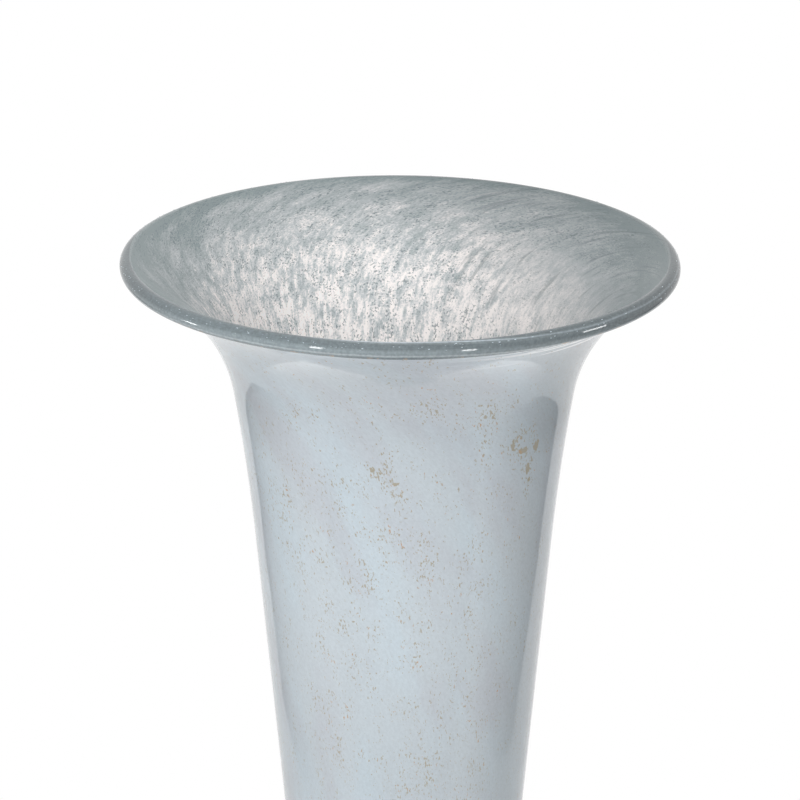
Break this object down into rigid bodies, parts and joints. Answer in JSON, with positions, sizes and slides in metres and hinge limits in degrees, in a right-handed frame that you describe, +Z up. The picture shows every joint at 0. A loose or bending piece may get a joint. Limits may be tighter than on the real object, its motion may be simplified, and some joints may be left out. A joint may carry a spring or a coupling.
{
  "type": "trumpet vase",
  "caption": "Tall footed vase of cased glass, a slender tapered body that flares into a wide trumpet mouth with a rolled lip.",
  "frame": {"origin": "centre of the circle that the pads rest on, on the floor under the foot", "axes": "+Z up along the vase's axis; the vase is round, so +X and +Y only say where the pads are"},
  "size_m": [0.305, 0.3048, 0.61],
  "materials": {
    "casing_glass": "clear soda-lime glass, fire polished, hand blown",
    "blue_opal_glass": "opaque pale blue-grey opal glass with tan flecks",
    "grey_frit_glass": "grey and white crushed glass fused into streaks",
    "lining_glass": "clear crystal glass, fire polished",
    "smoke_glass": "smoky grey glass with small seed bubbles, fire polished",
    "foot_glass": "clear glass with a faint grey tint, fire polished, ground rest ring",
    "clear_pad": "translucent soft silicone, smooth"
  },
  "bodies": {
    "root": {"outer_casing": "casing_glass", "colour_coat": "blue_opal_glass", "frit_coat": "grey_frit_glass", "crystal_lining": "lining_glass", "lip_wrap": "smoke_glass", "merese": "foot_glass", "foot": "foot_glass", "foot_pads": "clear_pad"}
  },
  "joints": []
}
